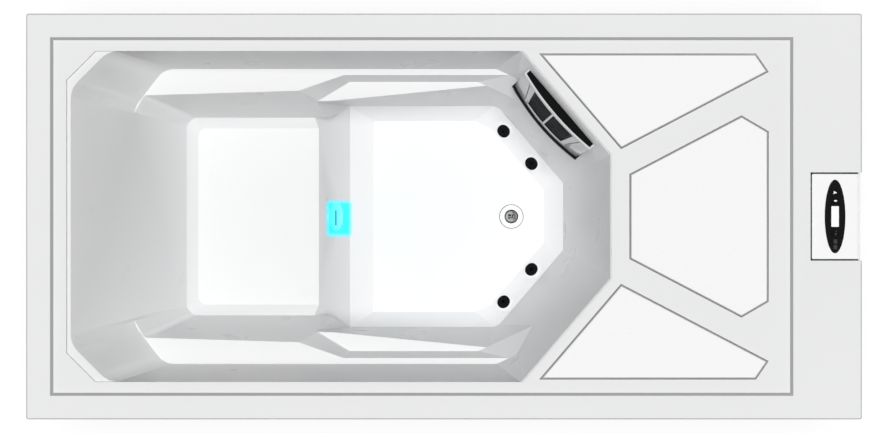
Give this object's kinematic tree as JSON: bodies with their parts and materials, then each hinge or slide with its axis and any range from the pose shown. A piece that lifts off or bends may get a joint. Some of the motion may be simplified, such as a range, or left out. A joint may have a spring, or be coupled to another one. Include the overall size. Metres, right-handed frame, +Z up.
{
  "type": "outdoor spa pool",
  "caption": "Free-standing one-person spa pool: moulded white basin with lounge seat and footwell, deck with pads, keypad, skimmer, jets and equipment bay in a clad cabinet",
  "frame": {"origin": "on the ground under the middle of the rim", "axes": "+X from the bather's head to the deck and controls, +Y to the skimmer side, +Z up"},
  "size_m": [2.36, 1.146, 0.84],
  "materials": {
    "acrylic": "glossy white cast acrylic",
    "pad_white": "satin white, lightly textured",
    "white_abs": "smooth white moulding",
    "black_gloss": "deep black moulding",
    "black_matte": "fine-textured black moulding",
    "seal_rubber": "matt black rubber",
    "display": "pale lit window",
    "pale_grey": "pale grey moulding",
    "light_lens": "clear lens lit cyan",
    "steel": "brushed stainless steel",
    "chrome": "polished plating",
    "pvc": "plain white pipe",
    "hose": "ribbed flexible hose",
    "grey_plastic": "grey moulding",
    "motor": "painted finned casting",
    "cladding": "charcoal planks with fine grain",
    "timber": "planed softwood",
    "filter_paper": "pleated filter cloth"
  },
  "bodies": {
    "cabinet": {"shell": "acrylic", "deck_pad_middle": "pad_white", "deck_pad_right": "pad_white", "control_insert": "white_abs", "insert_seal": "seal_rubber", "keypad_housing": "black_gloss", "keypad_display": "display", "skimmer_frame": "pale_grey", "skimmer_grilles": "black_matte", "skimmer_top_grille": "black_matte", "skimmer_lip": "black_gloss", "skimmer_duct": "pvc", "weir_pin": "steel", "filter_canister": "grey_plastic", "jet_bodies": "white_abs", "clamp_nuts": "grey_plastic", "jet_hoses": "hose", "drain_flange": "white_abs", "light_lens": "light_lens", "light_housing": "white_abs", "pump_wet_end": "grey_plastic", "pump_motor": "motor", "pump_base": "grey_plastic", "water_pipes": "pvc", "heater_tube": "steel", "heater_unions": "grey_plastic", "control_pack": "grey_plastic", "pack_stand": "steel", "jet_manifold": "pvc", "gate_valves": "pvc", "drain_valve": "steel", "supply_gland": "grey_plastic", "base_pan": "grey_plastic", "side_panels": "cladding", "head_panel": "cladding", "access_panel": "cladding", "vent_grille": "black_matte", "panel_screws": "steel", "corner_posts": "cladding", "frame_rails": "timber", "frame_posts": "timber", "shell_bearers": "timber"},
    "hatch": {"filter_hatch_pad": "pad_white"},
    "filter_lid": {"filter_lid": "grey_plastic"},
    "cartridge": {"filter_cartridge": "filter_paper"},
    "weir": {"weir_flap": "white_abs"},
    "stopper": {"drain_stopper": "chrome"},
    "impeller": {"pump_impeller": "grey_plastic"},
    "drain_lever": {"drain_lever": "seal_rubber"},
    "suction_handle": {"suction_valve_handle": "seal_rubber"},
    "heater_handle": {"heater_valve_handle": "seal_rubber"},
    "jet_1": {"jet_face_1": "black_gloss"},
    "button_1": {"keypad_button_1": "black_matte"},
    "jet_2": {"jet_face_2": "black_gloss"},
    "button_2": {"keypad_button_2": "black_matte"},
    "jet_3": {"jet_face_3": "black_gloss"},
    "button_3": {"keypad_button_3": "black_matte"},
    "jet_4": {"jet_face_4": "black_gloss"},
    "button_4": {"keypad_button_4": "black_matte"}
  },
  "joints": [
    {"name": "hatch_lift", "type": "slide", "parent": "cabinet", "child": "hatch", "axis": [0, 0, 1], "range_m": [0, 0.4]},
    {"name": "filter_lid_lift", "type": "slide", "parent": "cabinet", "child": "filter_lid", "axis": [0, 0, 1], "range_m": [0, 0.36]},
    {"name": "cartridge_lift", "type": "slide", "parent": "cabinet", "child": "cartridge", "axis": [0, 0, 1], "range_m": [0, 0.32]},
    {"name": "weir_swing", "type": "hinge", "parent": "cabinet", "child": "weir", "pos_m": [0.32825, 0.30509, 0.635], "axis": [0.6504, -0.7596, 0], "range_deg": [-40, 0]},
    {"name": "stopper_lift", "type": "slide", "parent": "cabinet", "child": "stopper", "axis": [0, 0, 1], "range_m": [0, 0.009]},
    {"name": "drain_lever_turn", "type": "hinge", "parent": "cabinet", "child": "drain_lever", "pos_m": [1.089, 0, 0.087], "axis": [0, 0, 1], "range_deg": [0, 90]},
    {"name": "suction_handle_pull", "type": "slide", "parent": "cabinet", "child": "suction_handle", "axis": [1, 0, 0], "range_m": [0, 0.03]},
    {"name": "heater_handle_pull", "type": "slide", "parent": "cabinet", "child": "heater_handle", "axis": [1, 0, 0], "range_m": [0, 0.03]},
    {"name": "impeller_spin", "type": "hinge", "parent": "cabinet", "child": "impeller", "pos_m": [0.59, 0.37075, 0.15], "axis": [1, 0, 0], "continuous": true},
    {"name": "jet_1_turn", "type": "hinge", "parent": "cabinet", "child": "jet_1", "pos_m": [0.18311, 0.2608, 0.14748], "axis": [-0.4214, -0.3608, 0.8321], "range_deg": [0, 90]},
    {"name": "jet_2_turn", "type": "hinge", "parent": "cabinet", "child": "jet_2", "pos_m": [0.26733, 0.16243, 0.14748], "axis": [-0.4214, -0.3608, 0.8321], "range_deg": [0, 90]},
    {"name": "jet_3_turn", "type": "hinge", "parent": "cabinet", "child": "jet_3", "pos_m": [0.18311, -0.2608, 0.14748], "axis": [-0.4214, 0.3608, 0.8321], "range_deg": [0, 90]},
    {"name": "jet_4_turn", "type": "hinge", "parent": "cabinet", "child": "jet_4", "pos_m": [0.26733, -0.16243, 0.14748], "axis": [-0.4214, 0.3608, 0.8321], "range_deg": [0, 90]},
    {"name": "button_1_press", "type": "slide", "parent": "cabinet", "child": "button_1", "axis": [0, 0, -1], "range_m": [0, 0.001], "stiffness_N_per_m": 600},
    {"name": "button_2_press", "type": "slide", "parent": "cabinet", "child": "button_2", "axis": [0, 0, -1], "range_m": [0, 0.001], "stiffness_N_per_m": 600},
    {"name": "button_3_press", "type": "slide", "parent": "cabinet", "child": "button_3", "axis": [0, 0, -1], "range_m": [0, 0.001], "stiffness_N_per_m": 600},
    {"name": "button_4_press", "type": "slide", "parent": "cabinet", "child": "button_4", "axis": [0, 0, -1], "range_m": [0, 0.001], "stiffness_N_per_m": 600}
  ],
  "couplings": [
    {"joint": "filter_lid_lift", "follows": "hatch_lift", "ratio": 0.9},
    {"joint": "cartridge_lift", "follows": "hatch_lift", "ratio": 0.8}
  ]
}
